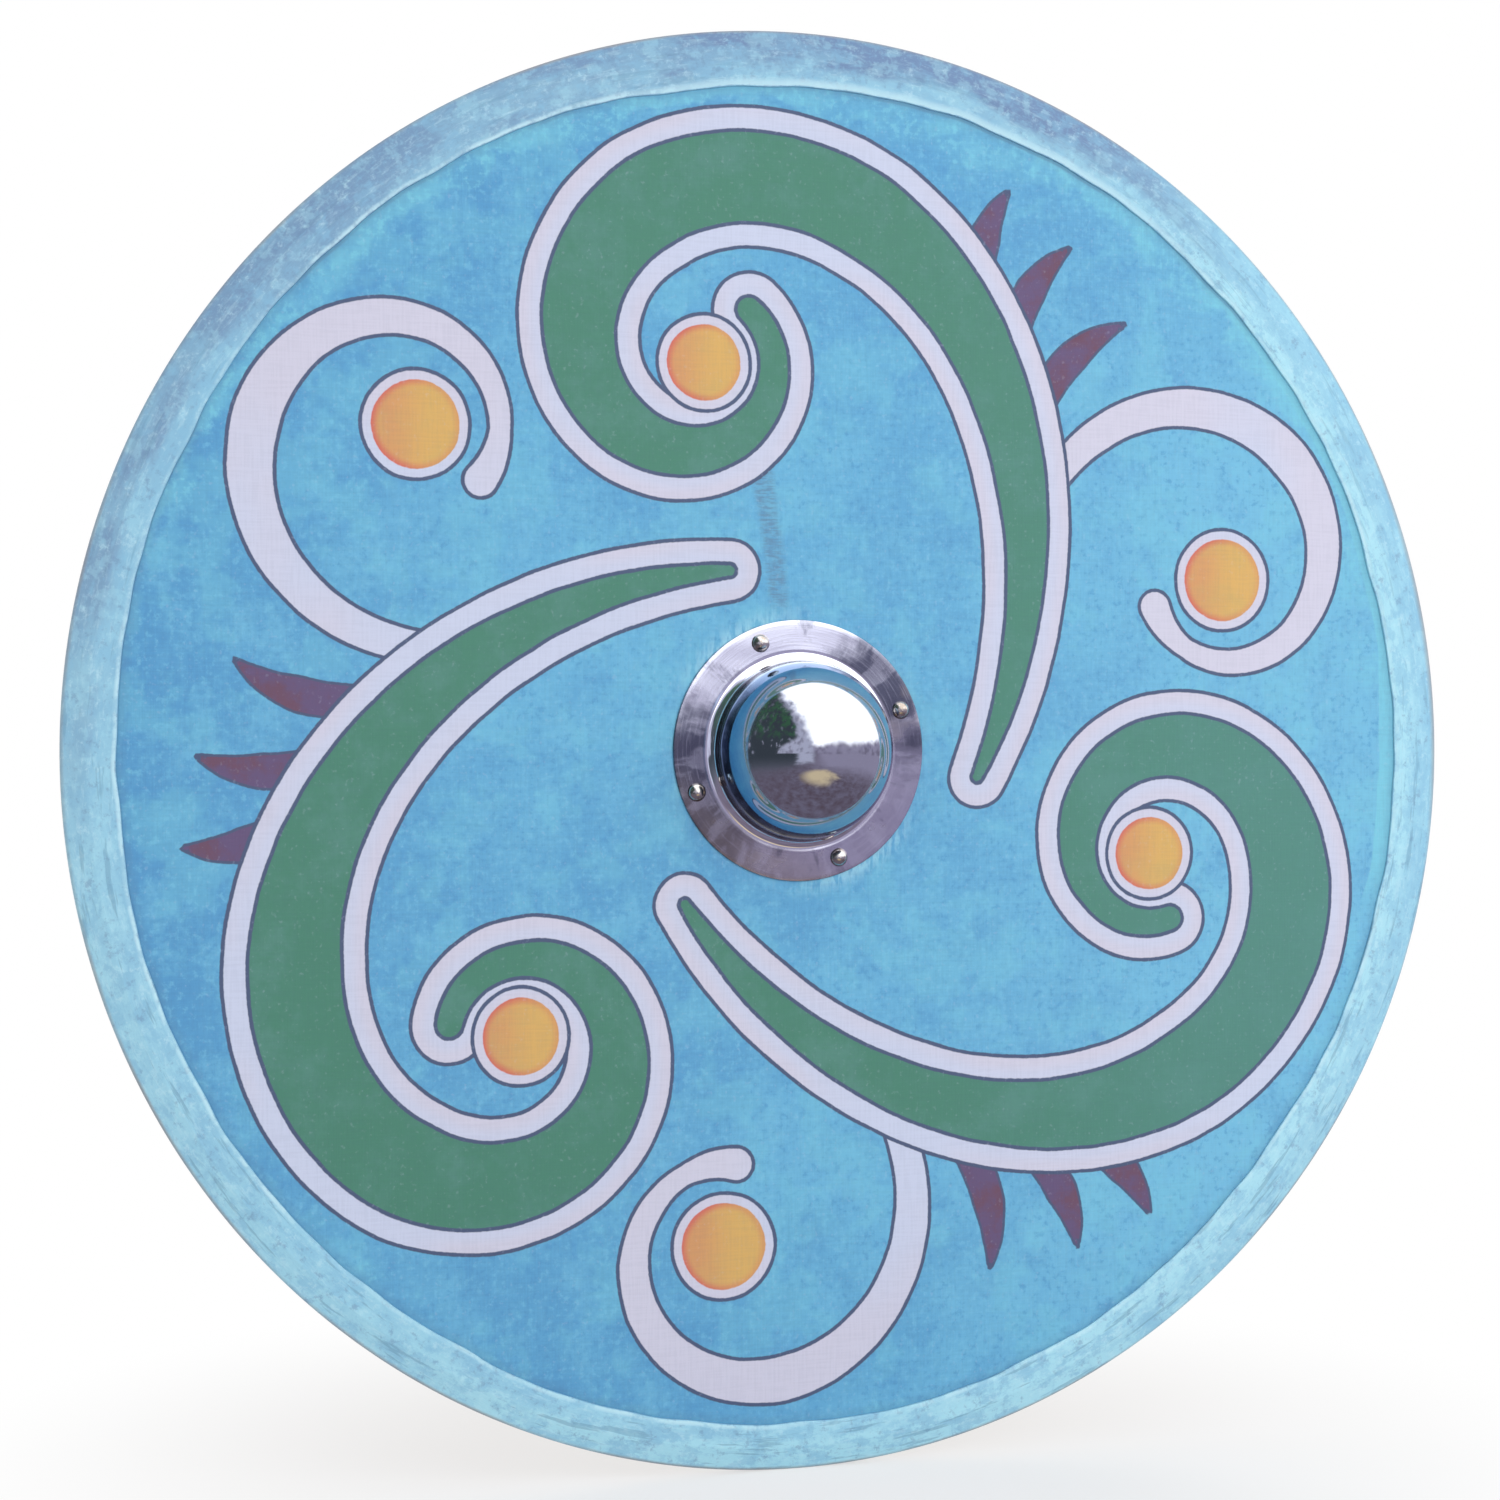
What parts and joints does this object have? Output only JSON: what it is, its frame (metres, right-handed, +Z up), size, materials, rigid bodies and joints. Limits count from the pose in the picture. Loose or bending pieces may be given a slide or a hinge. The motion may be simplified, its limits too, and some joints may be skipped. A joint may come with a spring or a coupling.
{
  "type": "round wooden shield",
  "caption": "Round plank shield with a painted linen face, a folded rim edging, a domed steel boss on a riveted flange and a carved grip bar behind it.",
  "frame": {"origin": "middle of the hand grip, on the axis of the shield", "axes": "the shield stands upright: +Y from the painted face to the back, +Z up, +X to the right seen from the front; the grip bar lies along X"},
  "size_m": [0.8356, 0.0941, 0.8356],
  "materials": {
    "board_wood": "oiled softwood, planed, grain upright",
    "painted_linen": "glued linen, brush-painted, matt to satin, fine weave",
    "painted_rawhide": "rawhide edging, thickly brush-painted, satin",
    "boss_steel": "polished dome, rubbed flange",
    "rivet_steel": "polished domed heads",
    "rove_iron": "forged black iron, oiled",
    "grip_wood": "oiled ash, worn smooth in the hand"
  },
  "bodies": {
    "root": {"plank_1": "board_wood", "plank_2": "board_wood", "plank_3": "board_wood", "plank_4": "board_wood", "plank_5": "board_wood", "plank_6": "board_wood", "plank_7": "board_wood", "linen_facing": "painted_linen", "rim_edging_1": "painted_rawhide", "rim_edging_2": "painted_rawhide", "boss": "boss_steel", "boss_rivet_1": "rivet_steel", "boss_rivet_2": "rivet_steel", "boss_rivet_3": "rivet_steel", "boss_rivet_4": "rivet_steel", "boss_rove_1": "rove_iron", "boss_rove_2": "rove_iron", "boss_rove_3": "rove_iron", "boss_rove_4": "rove_iron", "grip_bar": "grip_wood", "grip_nails": "rove_iron", "grip_nail_roves": "rove_iron"}
  },
  "joints": []
}
